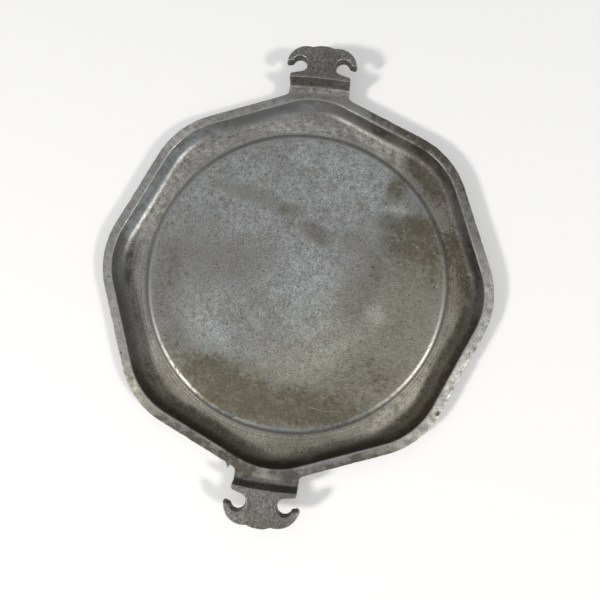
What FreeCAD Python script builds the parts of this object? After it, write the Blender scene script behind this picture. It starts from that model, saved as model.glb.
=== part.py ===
"""Eight-sided cast griddle with a hook-ended lug handle at two opposite corners.

Millimetres, +Z up. The handles lie along Y and the underside rests on Z = 0.
"""
import FreeCAD, Part
import math
import os

# Pan, seen from above: the opening is measured at the ground rim
SIDES = 8
across_flats = 309.0
corner_radius = 67.3
rim_width = 8.6
cooking_disc_diameter = 263.8

# Pan, in section
rim_height = 18.4
rim_thickness = 4.5
wall_thickness = 4.4
wall_draft_deg = 12.0
disc_drop = 11.8
gutter_depth = 2.7
disc_bevel_width = 2.8
base_corner_inset = 14.7
base_step = 0.6
base_bevel_width = 0.6
gutter_radius = 10.0
underside_radius = 12.0
disc_edge_radius = 1.6
under_rim_bevel = 1.6
opening_edge_break = 0.4

# Broken upper edge of the sand-cast outline, alike on rim and handles
cast_edge_break = 0.6

# Handle riser, which lifts the hook plate clear of the rim
handle_width = 54.0
tongue_length = 0.4
tongue_root_radius = 3.5
riser_setback = 3.4
riser_lean = 1.9
riser_thickness = 4.6
riser_bow_radius = 300.0
riser_foot_radius = 2.4
riser_back_radius = 3.0
riser_armpit_radius = 3.5
riser_top_radius = 0.8
shoulder_land = 2.75
shoulder_radius = 2.4

# Hook plate, its reaches measured outward from the line through both notches
plate_height = 11.3
plate_thickness = 6.7
notch_radius = 6.5
notch_spacing = 38.4
notch_setback = 12.3
hook_inset = 5.2
hook_reach = 0.3
crown_radius = 25.0
crown_reach = 18.2
cusp_radius = 1.5
tip_reach = 1.7
tip_width = 4.95
tip_corner_radius = 1.2
tip_barb_radius = 0.9

# How far a cutting solid runs past the face that it opens
cut_overrun = 2.0

HALF_CORNER = math.pi / SIDES
X_AXIS = FreeCAD.Vector(1, 0, 0)
Z_AXIS = FreeCAD.Vector(0, 0, 1)
ORIGIN = FreeCAD.Vector(0, 0, 0)


def corner_distance(apothem, radius):
    """Distance from the middle to the centre of a rounded corner's arc."""
    return (apothem - radius) / math.cos(HALF_CORNER)


def polar(distance, angle, height):
    return FreeCAD.Vector(distance * math.cos(angle), distance * math.sin(angle), height)


def octagon(apothem, radius, height):
    """Outline with a rounded corner on the Y axis and on every eighth of a turn."""
    reach = corner_distance(apothem, radius)
    edges = []
    last_end = None
    first_start = None
    for corner in range(SIDES):
        turn = 2 * HALF_CORNER * corner + math.pi / 2
        centre = polar(reach, turn, height)
        start, middle, end = (centre + polar(radius, turn + side * HALF_CORNER, 0) for side in (-1, 0, 1))
        if last_end is None:
            first_start = start
        else:
            edges.append(Part.LineSegment(last_end, start).toShape())
        edges.append(Part.Arc(start, middle, end).toShape())
        last_end = end
    edges.append(Part.LineSegment(last_end, first_start).toShape())
    return Part.Wire(edges)


def drafted_octagon(apothem, radius, bottom, top):
    """Solid whose size is given at its top and whose walls lean in below it."""
    shrink = (top - bottom) * math.tan(math.radians(wall_draft_deg))
    lower = octagon(apothem - shrink, radius - shrink, bottom)
    upper = octagon(apothem, radius, top)
    return Part.makeLoft([lower, upper], True, True)


def edges_at_height(shape, height):
    """Edges that lie wholly in the level plane at this height."""
    near = 1e-5 * across_flats
    return [edge for edge in shape.Edges
            if abs(edge.BoundBox.ZMin - height) < near and abs(edge.BoundBox.ZMax - height) < near]


def upright_edges(shape, wanted):
    """Vertical edges whose distances from the two middle planes pass a test."""
    near = 1e-5 * across_flats
    found = []
    for edge in shape.Edges:
        box = edge.BoundBox
        if box.XLength < near and box.YLength < near and wanted(abs(box.XMin), abs(box.YMin)):
            found.append(edge)
    return found


def level_face(shape, height):
    """Widest flat face at this height."""
    near = 1e-5 * across_flats
    faces = [face for face in shape.Faces
             if abs(face.BoundBox.ZMin - height) < near and face.BoundBox.ZLength < near]
    return max(faces, key=lambda face: face.BoundBox.XLength)


def inner_edges(face):
    return [edge for wire in face.Wires if not wire.isSame(face.OuterWire) for edge in wire.Edges]


def outer_edges_off_seam(face):
    """Outer edges of a rim face, without the two ends where the handles join."""
    near = 1e-5 * across_flats
    return [edge for edge in face.OuterWire.Edges
            if edge.BoundBox.YLength > near or abs(abs(edge.BoundBox.YMin) - seam) > near]


def outermost_edge(shape, height):
    """The level edge that reaches furthest along Y."""
    return max(edges_at_height(shape, height), key=lambda edge: edge.BoundBox.YMax)


rim_outer_apothem = across_flats / 2 + rim_width
rim_outer_radius = corner_radius + rim_width
rim_peak = corner_distance(rim_outer_apothem, rim_outer_radius) + rim_outer_radius
rim_underside = rim_height - rim_thickness
disc_top = rim_height - disc_drop
gutter_floor = disc_top - gutter_depth

# The far side of a notch, seen from the middle of the handle
barb_reach = notch_spacing / 2 + notch_radius

# Every handle meets the pan on this plane, square to Y
seam = rim_peak + tongue_length
plate_top = rim_height + plate_height
plate_bottom = plate_top - plate_thickness
riser_foot = seam + riser_setback
riser_top = riser_foot + riser_lean
notch_line = riser_top + notch_setback
handle_start = seam - cut_overrun
handle_end = notch_line + crown_reach + cut_overrun


def pan_outside():
    """Drafted body with a blended underside, standing on a round faced base."""
    lean = math.tan(math.radians(wall_draft_deg))
    skin = wall_thickness / math.cos(math.radians(wall_draft_deg))
    apothem = across_flats / 2 - rim_thickness * lean + skin
    radius = corner_radius - rim_thickness * lean + skin
    body = drafted_octagon(apothem, radius, base_step, rim_underside)
    body = body.makeFillet(underside_radius, edges_at_height(body, base_step))
    flat = level_face(body, base_step)
    base_radius = flat.BoundBox.YLength / 2 - base_corner_inset
    base = Part.makeCone(base_radius - base_bevel_width, base_radius, base_step, ORIGIN, Z_AXIS)
    return body.fuse(base)


def rim():
    """Flat flange that runs out into a tongue at each handle."""
    outline = Part.Face(octagon(rim_outer_apothem, rim_outer_radius, rim_underside))
    flange = outline.extrude(Z_AXIS * rim_thickness)
    corner = FreeCAD.Vector(-handle_width / 2, -seam, rim_underside)
    flange = flange.fuse(Part.makeBox(handle_width, 2 * seam, rim_thickness, corner)).removeSplitter()
    near = 1e-5 * across_flats
    roots = upright_edges(flange, lambda x, y: abs(x - handle_width / 2) < near and y < seam - near)
    return flange.makeFillet(tongue_root_radius, roots)


def hollow():
    """What the walls, the gutter and the open top leave free."""
    lean = math.tan(math.radians(wall_draft_deg))
    spread = cut_overrun * lean
    top = rim_height + cut_overrun
    space = drafted_octagon(across_flats / 2 + spread, corner_radius + spread, gutter_floor, top)
    return space.makeFillet(gutter_radius, edges_at_height(space, gutter_floor))


def cooking_disc():
    """Raised round floor with a bevelled edge, rooted in the base."""
    top_radius = cooking_disc_diameter / 2
    foot_radius = top_radius + disc_bevel_width
    root = Part.makeCylinder(foot_radius, gutter_floor - base_step, ORIGIN + Z_AXIS * base_step, Z_AXIS)
    bevel = Part.makeCone(foot_radius, top_radius, gutter_depth, ORIGIN + Z_AXIS * gutter_floor, Z_AXIS)
    disc = root.fuse(bevel).removeSplitter()
    return disc.makeFillet(disc_edge_radius, edges_at_height(disc, disc_top))


def griddle_pan():
    pan = pan_outside().fuse(rim()).removeSplitter()
    pan = pan.cut(hollow()).fuse(cooking_disc()).removeSplitter()
    pan = pan.makeChamfer(under_rim_bevel, inner_edges(level_face(pan, rim_underside)))
    pan = pan.makeChamfer(opening_edge_break, inner_edges(level_face(pan, rim_height)))
    return pan.makeChamfer(cast_edge_break, outer_edges_off_seam(level_face(pan, rim_height)))


def circle_crossing(centre_a, radius_a, centre_b, radius_b):
    """The outward one of the two points where two circles cross."""
    dx, dy = centre_b[0] - centre_a[0], centre_b[1] - centre_a[1]
    gap = math.hypot(dx, dy)
    along = (gap ** 2 + radius_a ** 2 - radius_b ** 2) / (2 * gap)
    across = math.sqrt(radius_a ** 2 - along ** 2)
    points = [(centre_a[0] + (along * dx - side * across * dy) / gap,
               centre_a[1] + (along * dy + side * across * dx) / gap) for side in (-1, 1)]
    return max(points, key=lambda point: point[1])


def lower_tangent_point(outside, centre, radius):
    """Where the lower tangent from a point to its right touches the circle."""
    dx, dy = outside[0] - centre[0], outside[1] - centre[1]
    angle = math.atan2(dy, dx) - math.acos(radius / math.hypot(dx, dy))
    return (centre[0] + radius * math.cos(angle), centre[1] + radius * math.sin(angle))


def arc_edge(centre, radius, start, end, clockwise):
    """Arc in the plan, from one point to the other."""
    first = math.atan2(start[1] - centre[1], start[0] - centre[0])
    last = math.atan2(end[1] - centre[1], end[0] - centre[0])
    turn = (first - last) % (2 * math.pi) if clockwise else (last - first) % (2 * math.pi)
    middle = first - turn / 2 if clockwise else first + turn / 2
    point = (centre[0] + radius * math.cos(middle), centre[1] + radius * math.sin(middle))
    return Part.Arc(*(FreeCAD.Vector(x, y, 0) for x, y in (start, point, end))).toShape()


def line_edge(start, end):
    return Part.LineSegment(FreeCAD.Vector(start[0], start[1], 0), FreeCAD.Vector(end[0], end[1], 0)).toShape()


def handle_plan():
    """Half of the handle's outline in plan, and its corners with their radii."""
    notch = (notch_spacing / 2, notch_line)
    barb = (notch[0] + math.sqrt(notch_radius ** 2 - tip_reach ** 2), notch_line + tip_reach)
    tip = (barb[0] + tip_width, barb[1])
    hook = (notch[0] - hook_inset, notch_line + hook_reach)
    hook_radius = math.hypot(tip[0] - hook[0], tip[1] - hook[1])
    crown = (0, notch_line + crown_reach - crown_radius)
    apex = (0, notch_line + crown_reach)
    cusp = circle_crossing(crown, crown_radius, hook, hook_radius)
    shoulder = (handle_width / 2, riser_top + shoulder_land)
    heel = lower_tangent_point(shoulder, notch, notch_radius)
    root = (handle_width / 2, seam)
    edges = [arc_edge(crown, crown_radius, apex, cusp, True),
             arc_edge(hook, hook_radius, cusp, tip, True),
             line_edge(tip, barb),
             arc_edge(notch, notch_radius, barb, heel, False),
             line_edge(heel, shoulder),
             line_edge(shoulder, root),
             line_edge(root, (0, seam))]
    corners = [(cusp, cusp_radius), (tip, tip_corner_radius), (barb, tip_barb_radius),
               (shoulder, shoulder_radius)]
    return edges, corners


def rounded_outline(corners):
    """Closed wire through points given with the radius that rounds each of them."""
    edges = []
    ends = []
    for index, (point, radius) in enumerate(corners):
        before = (corners[index - 1][0] - point).normalize()
        after = (corners[(index + 1) % len(corners)][0] - point).normalize()
        half_angle = before.getAngle(after) / 2
        setback = radius / math.tan(half_angle)
        start, end = point + before * setback, point + after * setback
        if radius:
            bisector = (before + after).normalize()
            middle = point + bisector * (radius / math.sin(half_angle) - radius)
            edges.append(Part.Arc(start, middle, end).toShape())
        ends.append((start, end))
    for index, (start, _) in enumerate(ends):
        edges.append(Part.LineSegment(ends[index - 1][1], start).toShape())
    return Part.Wire(Part.sortEdges(edges)[0])


def side_view(corners):
    """Flat face in the plane X = 0, from corners as Y, Z and rounding radius."""
    return Part.Face(rounded_outline([(FreeCAD.Vector(0, y, z), radius) for y, z, radius in corners]))


def bowed_front():
    """Solid under the tongue, the leaning riser front and the plate, curved in plan."""
    corners = [(handle_start, 0, 0),
               (handle_start, rim_height, 0),
               (riser_foot, rim_height, riser_foot_radius),
               (riser_top, plate_top, riser_top_radius),
               (handle_end, plate_top, 0),
               (handle_end, 0, 0)]
    centre = FreeCAD.Vector(0, riser_top - riser_bow_radius, 0)
    swing = math.degrees(2 * math.asin((barb_reach + tip_width) / riser_bow_radius))
    section = side_view(corners)
    section.rotate(centre, Z_AXIS, -swing / 2)
    return section.revolve(centre, Z_AXIS, swing)


def space_below():
    """What the tongue's underside, the riser's back and the plate's underside leave free."""
    lean_rate = riser_lean / plate_height
    under_plate = riser_foot + (plate_bottom - rim_height) * lean_rate + riser_thickness
    back_foot = riser_foot - rim_thickness * lean_rate + riser_thickness
    corners = [(handle_start, -cut_overrun, 0),
               (handle_start, rim_underside, 0),
               (back_foot, rim_underside, riser_back_radius),
               (under_plate, plate_bottom, riser_armpit_radius),
               (handle_end, plate_bottom, 0),
               (handle_end, -cut_overrun, 0)]
    reach = barb_reach + tip_width + cut_overrun
    section = side_view(corners)
    section.translate(X_AXIS * -reach)
    return section.extrude(X_AXIS * (2 * reach))


def handle():
    """One lug handle, on the +Y side: its plan outline cut to its side views."""
    right, corners = handle_plan()
    left = [edge.mirror(ORIGIN, X_AXIS) for edge in right]
    outline = Part.Wire(Part.sortEdges(right + left)[0])
    prism = Part.Face(outline).extrude(Z_AXIS * plate_top)
    near = 1e-5 * across_flats
    for place, radius in corners:
        corner_edges = upright_edges(prism, lambda x, y: math.dist((x, y), place) < near)
        prism = prism.makeFillet(radius, corner_edges)
    lug = prism.common(bowed_front()).cut(space_below()).removeSplitter()
    return lug.makeChamfer(cast_edge_break, [outermost_edge(lug, plate_top)])


def main():
    os.makedirs("parts", exist_ok=True)
    back = handle()
    front = back.copy()
    front.rotate(ORIGIN, Z_AXIS, math.degrees(math.pi))
    for name, shape in (("griddle_pan", griddle_pan()), ("back_handle", back), ("front_handle", front)):
        print(name, len(shape.Solids), shape.isValid(), round(shape.Volume), shape.optimalBoundingBox(False, False))
        shape.exportStep("parts/" + name + ".step")


main()
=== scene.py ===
"""Looks of the cast griddle: a worn grey casting on a pale floor. Metres, +Z up."""

import math

import bmesh
import bpy
import numpy as np
from mathutils import Matrix, Vector, noise


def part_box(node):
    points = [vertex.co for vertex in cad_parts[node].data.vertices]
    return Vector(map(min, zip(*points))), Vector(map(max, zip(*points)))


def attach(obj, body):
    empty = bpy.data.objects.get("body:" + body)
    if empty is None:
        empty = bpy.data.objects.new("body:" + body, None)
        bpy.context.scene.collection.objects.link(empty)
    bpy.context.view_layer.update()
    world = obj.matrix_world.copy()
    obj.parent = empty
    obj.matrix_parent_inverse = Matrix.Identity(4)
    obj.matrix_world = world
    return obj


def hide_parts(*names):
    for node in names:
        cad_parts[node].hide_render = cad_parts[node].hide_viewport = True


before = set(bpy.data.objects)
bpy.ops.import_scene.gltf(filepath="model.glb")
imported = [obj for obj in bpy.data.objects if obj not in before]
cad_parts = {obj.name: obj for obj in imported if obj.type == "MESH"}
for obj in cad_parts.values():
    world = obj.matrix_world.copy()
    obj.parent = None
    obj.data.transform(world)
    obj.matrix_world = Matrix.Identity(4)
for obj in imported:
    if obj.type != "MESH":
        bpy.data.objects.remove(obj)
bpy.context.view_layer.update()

MM = 0.001

# Pan, seen from above
SIDES = 8
CORNER_RADIUS = 67.3 * MM
RIM_WIDTH = 8.6 * MM
DISC_STEP_RADIUS = 133.6 * MM
BASE_RADIUS = 138.0 * MM
TONGUE_WIDTH = 54.0 * MM
TONGUE_ROOT_RADIUS = 3.5 * MM

# Pan, in section
RIM_THICKNESS = 4.5 * MM
WALL_THICKNESS = 4.4 * MM
WALL_DRAFT = math.radians(12)
DISC_DROP = 11.8 * MM
GUTTER_DEPTH = 2.7 * MM
GUTTER_RADIUS = 10.0 * MM
DISC_STEP_SLOPE = math.radians(38)
DISC_EDGE_RADIUS = 8.0 * MM
DISC_FOOT_RADIUS = 1.6 * MM
OPENING_EDGE_RADIUS = 0.8 * MM
CAST_EDGE_RADIUS = 0.8 * MM
LOWER_EDGE_RADIUS = 0.3 * MM
UNDER_RIM_RADIUS = 1.8 * MM
UNDERSIDE_RADIUS = 12.0 * MM
BASE_STEP = 0.6 * MM
BASE_BEVEL = 0.6 * MM

# How finely the rings are divided
ARC_POINTS = 44
SIDE_POINTS = 48
TONGUE_END_POINTS = 22
TONGUE_SIDE_POINTS = 4
TONGUE_ROOT_POINTS = 10
DISC_RINGS = 31
BASE_RINGS = 9
INNERMOST_RADIUS = 6 * MM

# Where the gutter's fillet takes on the wall's look and its own, by distance out over its radius
WALL_FROM = (0.35, 0.85)
FILLET_FROM = (0.0, 0.3)

# Hook plate: draft of its sides, swell of its outer faces, and a notch's middle in the plan.
# What ends in BEGINS is a span of distances beyond the seam between pan and handle.
HOOK_DRAFT = math.radians(12)
HOOK_THICKNESS = 6.7 * MM
HOOK_SWELL = 0.25 * MM
HOOK_REACH_ALLOWANCE = 0.1 * MM
HOOK_BEGINS = (8 * MM, 10 * MM)
NOTCH_PLACE = (19.2 * MM, 188.285 * MM)
NOTCH_RADIUS = 6.5 * MM
NOTCH_WALL = (0.2 * MM, 2 * MM)

# Handle mesh, before its surface is roughened
HANDLE_VOXEL = 0.42 * MM
HANDLE_OVERLAP = 3.0 * MM
HANDLE_SMOOTHING = 5
HANDLE_SMOOTH_FACTOR = 0.5

# How far the front hook plate stands off its even place: all of it, and its right half alone
FRONT_PLATE_SHIFT = (-0.7 * MM, 0.0)
FRONT_RIGHT_SHIFT = (0.0, 1.0 * MM)
FRONT_PLATE_BEGINS = (7 * MM, 13 * MM)
RIGHT_HALF_FROM = (2 * MM, 16 * MM)

# Unevenness of each skin in layers: depth, size of the lumps, and place in the noise
WORKED_SKIN = ((0.05 * MM, 14 * MM, 1),)
CAST_SKIN = ((0.06 * MM, 5 * MM, 2),)
RAGGED_EDGE = ((0.17 * MM, 6 * MM, 3), (0.12 * MM, 2.6 * MM, 4))
HANDLE_SKIN = ((0.10 * MM, 9 * MM, 11), (0.07 * MM, 2.2 * MM, 12), (0.035 * MM, 1.1 * MM, 13))
HANDLE_SKIN_BEGINS = (0, 4 * MM)

# Bites out of the rim's outer edge, where a broad noise passes a threshold
BITE_DEPTH = 1.1 * MM
BITE_SIZE = 9 * MM
BITE_PLACE = 5
BITE_THRESHOLD = 0.32

# Where the pan's unevenness dies away at the tongues, from the middle, across and along
TONGUE_ACROSS = (27 * MM, 33 * MM)
TONGUE_ALONG = (158 * MM, 166 * MM)

# Where a handle is ground like the rim: beyond the seam, below the rim's top, and how level it lies
TONGUE_ENDS = (1.0 * MM, 3.5 * MM)
GROUND_DEPTHS = (0.5 * MM, 0.2 * MM)
GROUND_LEVELS = (0.5, 0.9)

# Where a hook plate's upper edge is rubbed: below its top, and how level it lies, from and to
RUBBED_DEPTHS = (1.8 * MM, 0.9 * MM)
RUBBED_FROM = (0.25, 0.55)
RUBBED_TO = (0.9, 0.98)

# Camera, at the photograph's viewing angle
CAMERA_PLACE = Vector((33.64, -61.78, 426.7)) * MM
CAMERA_TARGET = Vector((7.92, -19.17, 18.4)) * MM
CAMERA_UP = Vector((-0.1331, 0.9911, 0))
CAMERA_LENS_MM = 28.8
CAMERA_SENSOR_MM = 36.0
CAMERA_CLIP = (0.01, 20)

# Floor, lamps and room, whose shades go by height
FLOOR_HALF_WIDTH = 3.0
FLOOR_COLOUR = (0.97, 0.97, 0.965, 1)
FLOOR_ROUGHNESS = 0.9
LAMP_DISTANCE = 2.2
LAMP_SIZE = 0.3
ROOM_STRENGTH = 0.68
ROOM_HORIZON = (0.08, 0.083, 0.087, 1)
ROOM_ZENITH = (0.93, 0.96, 0.99, 1)
ROOM_BETWEEN = ((0.35, (0.14, 0.147, 0.155, 1)), (0.75, (0.72, 0.75, 0.78, 1)))

# Kinds of surface on the pan, and the angle above which an edge shows as sharp
ZONES = ("disc", "gutter", "wall", "ground", "base", "edge", "brink", "fillet", "foot")
SHARP_ANGLE = math.radians(38)

# How metallic the worn metal is, the tarnished one and the one rubbed bare
METALLIC = 0.6
TARNISHED = 0.35
BARE_METALLIC = 0.9

# How rough bare metal is, and film on rim and wall and in the gutter
BARE_ROUGHNESS = 0.32
FILM_ROUGHNESS = 0.6
GUTTER_FILM_ROUGHNESS = 0.55

# Colours as linear red, green and blue. Each metal has a dark and a light one for its clouds
SAND_CAST_METAL = ((0.143, 0.137, 0.124), (0.195, 0.19, 0.179))
RIM_METAL = ((0.251, 0.244, 0.232), (0.286, 0.283, 0.275))
WALL_METAL = ((0.185, 0.185, 0.18), (0.22, 0.224, 0.224))
GUTTER_METAL = ((0.198, 0.19, 0.176), (0.233, 0.231, 0.222))
DISC_METAL = ((0.236, 0.231, 0.219), (0.255, 0.261, 0.257))
BASE_METAL = ((0.123, 0.114, 0.101), (0.229, 0.22, 0.207))
# Pale metal, which at the rim's lower right and along the riser's foot is also a painted highlight
RIM_PALE_AND_HIGHLIGHT_COLOUR = (0.66, 0.63, 0.575)
RIM_FILM_COLOUR = (0.085, 0.077, 0.066)
# Painted light: pale blue-grey for the upper left walls, which face the lamps and reflect the bright room
WALL_PAINTED_LIGHT_COLOUR = (0.352, 0.387, 0.405)
# Dark brown film, which on the front walls is also painted shade
WALL_FILM_AND_SHADE_COLOUR = (0.056, 0.048, 0.035)
# Pale metal, which on the upper left fillet is also a painted highlight
GUTTER_PALE_AND_HIGHLIGHT_COLOUR = (0.333, 0.322, 0.297)
# Dark brown film, which along the front fillets is also a painted shadow of the wall
GUTTER_FILM_AND_SHADE_COLOUR = (0.066, 0.058, 0.044)
GUTTER_SPECK_COLOUR = (0.36, 0.34, 0.29)
# Pale blue-grey metal, which on the disc's middle and upper half is also painted light and reflection of the
# bright room
DISC_PALE_AND_LIGHT_COLOUR = (0.345, 0.365, 0.358)
DISC_FILM_COLOUR = (0.107, 0.096, 0.07)
SCRATCH_COLOUR = (0.43, 0.43, 0.41)
# Painted dark reflection: dark blue-grey for the front of the disc's step, standing in for the dim room it
# faces
PAINTED_DARK_REFLECTION_COLOUR = (0.097, 0.107, 0.132)
RUBBED_COLOUR = (0.44, 0.44, 0.431)

# Factors that a brown stain puts on red, green and blue
WARM_FACTORS = (1.03, 1.0, 0.89)

# How strongly pale specks, scratches and rubbed edges cover the metal
SPECK_COVER = 0.7
SCRATCH_COVER = 0.6
RUB_COVER = 0.7

# Spans of a noise over which it goes from one end to the other
CLOUD_SPAN = (0.35, 0.65)
NARROW_SPAN = (0.38, 0.62)
NOISE_SPAN = (0.3, 0.7)
CLUSTER_SPAN = (0.46, 0.56)
RUB_SPAN = (0.3, 0.6)
FULL_SPAN = (0, 1)

# A patch's soft edge, over its half lengths, and how much broad and fine noise break it up
PATCH_EDGE = (0.45, 1.55)
PATCH_BROAD = 2.6
PATCH_FINE = 4.8
PATCH_ROOM = 1.6

# Pits: wobble of their places, their soft edge over their radius, and how sharp their choice is
WOBBLE_SIZE = 1.6 * MM
WOBBLE_REACH = 1.8 * MM
PIT_EDGE = (0.5, 1.3)
PIT_CHOICE = 0.04

# Scratches and hairlines
SCRATCH_EDGE = (0.4, 1.4)
HAIRLINE_WIDTH = 0.5 * MM
HAIRLINE_SPAN = (0.6, 0.72)

# Unevenness of the fillet, and dark film at the foot of the disc's step, which is partly painted shade in
# that crease
FILLET_BUMP = 0.3 * MM
FOOT_GRIME_AND_SHADE = 0.18

# Patches in the plan: x, y, half length, half width (mm), turn (degrees), strength. Film is baked-on
# grease, and on the front walls and fillets it is also painted shade. Pale is cleaner metal, and on the
# upper left walls, the upper disc and parts of the rim and gutter it is also painted light and highlight.
# Warm is a brown stain, and scuffed metal has hairlines.
DISC_FILM = (
    (104, 8, 26, 56, -6, 0.3), (96, 46, 26, 16, -4, 0.5), (92, -70, 34, 36, -40, 0.25),
    (2, -112, 66, 17, 2, 0.85), (-58, -98, 30, 15, -35, 0.6), (55, -92, 46, 26, 25, 0.4),
    (-105, -62, 14, 30, 28, 0.35), (-116, -8, 12, 34, 0, 0.3), (14, 43, 15, 7, -35, 0.6),
    (80, 92, 8, 14, -25, 0.5), (68, 18, 7, 18, 10, 0.35), (-48, 72, 34, 7, -12, 0.25),
    (-12, 62, 12, 5, 15, 0.35), (-92, 42, 22, 14, 60, 0.1), (46, 40, 16, 12, 20, 0.15),
    (-72, 4, 54, 24, 10, 0.2), (-60, -94, 46, 22, -32, 0.45), (92, 62, 26, 8, 0, 0.7),
    (92, 34, 26, 26, 0, 0.2), (58, -12, 14, 20, 0, 0.4), (-34, -90, 26, 12, -10, 0.45),
    (118, 40, 12, 36, 12, 0.3), (92, 92, 14, 22, 40, 0.25),
)
# Pale metal on the disc; the large patches on its upper half and the one in its middle are also painted light
DISC_PALE_AND_LIGHT = (
    (8, 10, 34, 28, 35, 0.5), (-40, -18, 60, 30, 20, 0.1), (-44, 76, 76, 44, 14, 0.3),
    (40, 86, 50, 34, -20, 0.3), (-66, -62, 27, 15, -52, 0.6), (64, -16, 18, 11, -42, 0.5),
    (24, -44, 14, 6, 20, 0.5), (14, -32, 24, 16, 20, 0.25), (74, -22, 9, 6, -40, 0.5),
    (86, 71, 7, 6, 50, 0.9), (-12, 118, 9, 9, 0, 0.45), (44, 104, 34, 16, -25, 0.35),
    (36, -70, 26, 12, 42, 0.42), (-72, -22, 20, 14, -30, 0.2),
)
# Painted dark reflection along the front of the disc's step, where it faces the dim room
PAINTED_DARK_REFLECTION = (
    (-2, -132.8, 34, 3.0, 0, 1.0), (-44, -125.5, 26, 3.0, -19, 0.9), (46, -124.8, 26, 3.0, 20, 0.8),
    (80, -106, 22, 3.0, 37, 0.4),
)
WARM_TINT = (
    (92, -66, 120, 70, 42, 1.0), (30, -128, 130, 60, 4, 0.9), (128, 20, 40, 90, -8, 0.6),
    (-90, -128, 70, 40, -38, 0.7), (100, 128, 60, 30, -42, 0.4),
)
WALL_WARM = (
    (92, -96, 120, 50, 42, 1.0), (30, -148, 130, 40, 4, 1.0), (-90, -128, 70, 40, -38, 0.7),
    (100, 128, 60, 30, -42, 0.4),
)
RIM_WARM = (
    (-116, -116, 30, 16, -45, 1.0), (-12, -168, 20, 7, 0, 0.6), (112, 118, 50, 16, -40, 0.8),
    (100, -130, 50, 16, 40, 0.4),
)
RISER_WARM = ((0, -174, 26, 2.5, 0, 1.0),)
SCUFFED = (
    (60, -30, 60, 44, 38, 1.0), (24, -92, 70, 26, 4, 0.5), (92, -66, 36, 30, 40, 0.6),
)
SPECKED = (
    (98, 52, 34, 40, 30, 1.0), (122, -6, 26, 60, 0, 0.6), (132, 56, 18, 40, 24, 0.8),
    (20, -146, 90, 18, 4, 0.8),
)
# Film in the gutter; the bands along the front fillets are a painted shadow of the wall
GUTTER_FILM_AND_SHADE = (
    (98, 118, 13, 16, 42, 0.6), (108, 112, 26, 8, -45, 0.7), (138, 28, 12, 34, -3, 0.5),
    (130, 54, 10, 24, 22, 0.45), (114, 104, 12, 24, 42, 0.55), (30, -139, 30, 8, 12, 0.4),
    (152, 10, 8, 42, -2, 0.7), (-134, 0, 10, 30, 0, 0.12), (146, 44, 6, 26, 20, 0.6),
    (118, 96, 20, 16, -50, 0.6), (-152, -4, 7, 25, -6, 0.6), (0, -152, 60, 8, 0, 0.35),
    (-57, -137, 45, 8, -22, 0.8), (57, -139, 45, 6, 22, 0.15), (136, -57, 6, 48, -22, 0.9),
    (109, -109, 32, 6, 45, 0.85), (-108, -108, 32, 9, -45, 0.6), (-137, -57, 8, 44, 22, 0.45),
    (150, 22, 6, 24, 20, 0.9), (148, 27, 5, 22, 22, 0.5), (108, 108, 20, 7, -45, 0.4),
)
# Pale metal in the gutter, with a painted highlight along the upper left fillet
GUTTER_PALE_AND_HIGHLIGHT = (
    (-141, 46, 7, 34, -20, 0.7), (-96, 122, 42, 13, 42, 0.45), (-114, -90, 8, 32, 35, 0.2),
    (106, -92, 9, 34, -38, 0.85), (-128, 84, 14, 20, 0, 0.25), (122, 84, 3, 4, 0, 0.8),
    (127, 60, 3, 5, 0, 0.6), (60, 136, 26, 8, -22, 0.6), (70, 124, 16, 12, -28, 0.4),
    (-131, 54, 11, 44, -20, 0.4), (-10, 140, 56, 8, 0, 0.45),
)
# Film on the walls; the patches on the front walls, which face away from the lamps, are painted shade
WALL_FILM_AND_SHADE = (
    (0, -162, 60, 12, 0, 0.9), (-59, -143, 46, 12, -22, 1.1), (59, -143, 46, 12, 22, 1.1),
    (-112, -118, 34, 14, -45, 0.9), (112, -118, 34, 14, 45, 1.0), (146, -60, 12, 46, -22, 0.9),
    (-143, -62, 12, 40, 22, 0.4), (160, 10, 12, 40, -4, 0.3), (143, 60, 12, 44, 22, 0.6),
    (112, 118, 34, 12, -45, 0.7), (62, 144, 34, 10, -22, 0.65), (-58, 148, 46, 10, 22, 0.35),
    (148, 27, 5, 22, 22, 1.0), (154, 0, 5, 14, 0, 0.8), (109, 109, 14, 5, -45, 0.6),
    (0, 153, 24, 5, 0, 0.4),
)
# Painted light on the upper left walls, and painted highlight near the fillet's foot where the front right
# lamp shines
WALL_PAINTED_LIGHT = (
    (-118, 110, 70, 24, 50, 0.5), (-149, 46, 9, 30, -20, 0.6), (-44, 154, 44, 10, 16, 0.5),
    (-137, 57, 5, 30, -22, 0.5), (-148, 28, 5, 16, -22, 0.6),
)
RIM_FILM = (
    (92, 138, 52, 9, -24, 0.9), (128, 112, 24, 10, -50, 0.75), (142, 76, 12, 30, 22, 0.45),
    (46, -161, 26, 10, 14, 0.5), (70, -154, 40, 14, 22, 0.35), (0, 162, 30, 6, 0, 0.35),
    (-74, -152, 50, 14, -24, 0.9), (-25, -159, 18, 8, -12, 0.9), (14, -163, 12, 7, 0, 0.8),
    (133, -98, 2.2, 1.6, 40, 1.0), (147, -72, 1.3, 1.3, 0, 0.9), (158, -42, 1.6, 1.2, 60, 0.7),
    (112, -124, 3.0, 1.5, 30, 0.6), (83, -144, 22, 9, 25, 0.6), (-16, -168, 9, 5, 0, 0.3),
)
# Pale metal on the rim, with a painted highlight at the lower right and along the front riser's foot
RIM_PALE_AND_HIGHLIGHT = (
    (146, -69, 14, 35, -27, 0.5), (120, -115, 22, 10, 44, 0.2), (-116, 118, 24, 10, 45, 0.2),
    (165, 2, 6, 42, 0, 0.22), (-128, -108, 12, 18, 40, 0.2), (0, 171, 27, 3, 0, 0.28),
)

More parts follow.
